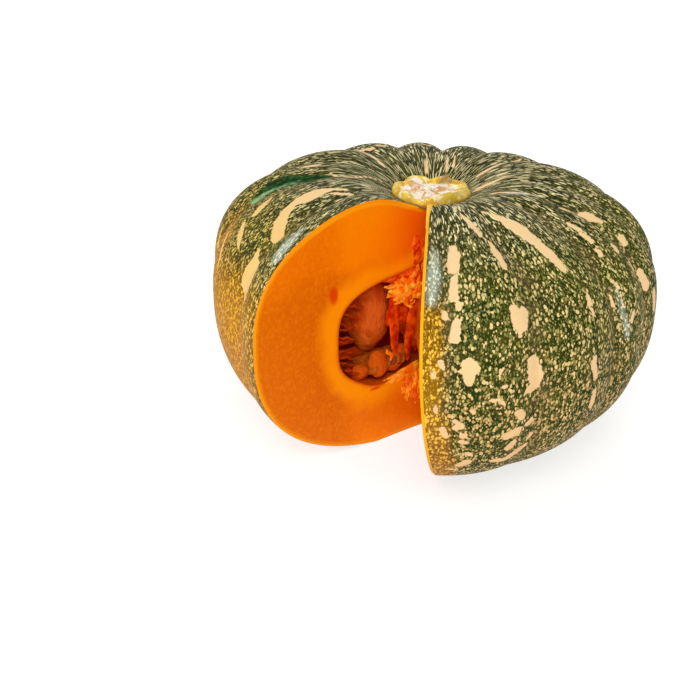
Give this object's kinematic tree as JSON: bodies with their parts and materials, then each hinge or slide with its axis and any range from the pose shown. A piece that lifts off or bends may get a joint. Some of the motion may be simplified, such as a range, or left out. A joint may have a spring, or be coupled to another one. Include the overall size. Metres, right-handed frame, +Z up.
{
  "type": "pumpkin",
  "caption": "Low ribbed dark green pumpkin with one wedge cut out, open to its orange flesh, seed cavity, pulp and seeds, and a corky stem scar on top.",
  "frame": {"origin": "on the flat of the base, on the fruit's own axis under the stem scar", "axes": "+Z up along the fruit's axis, -Y towards the middle of the missing wedge, +X to the right of someone who looks into the wedge"},
  "size_m": [0.2396, 0.2308, 0.1326],
  "materials": {
    "rind": "dark olive green skin, densely flecked with cream and with peach blotches, waxy satin",
    "flesh": "moist orange flesh, fine grained",
    "stem": "dry corky scar with an olive yellow rim",
    "pulp": "wet stringy red orange pulp and membrane",
    "seed": "smooth damp cream hull"
  },
  "bodies": {
    "root": {"rind": "rind", "flesh": "flesh", "stem": "stem", "pulp": "pulp", "seeds_left": "seed", "seeds_right": "seed"}
  },
  "joints": []
}
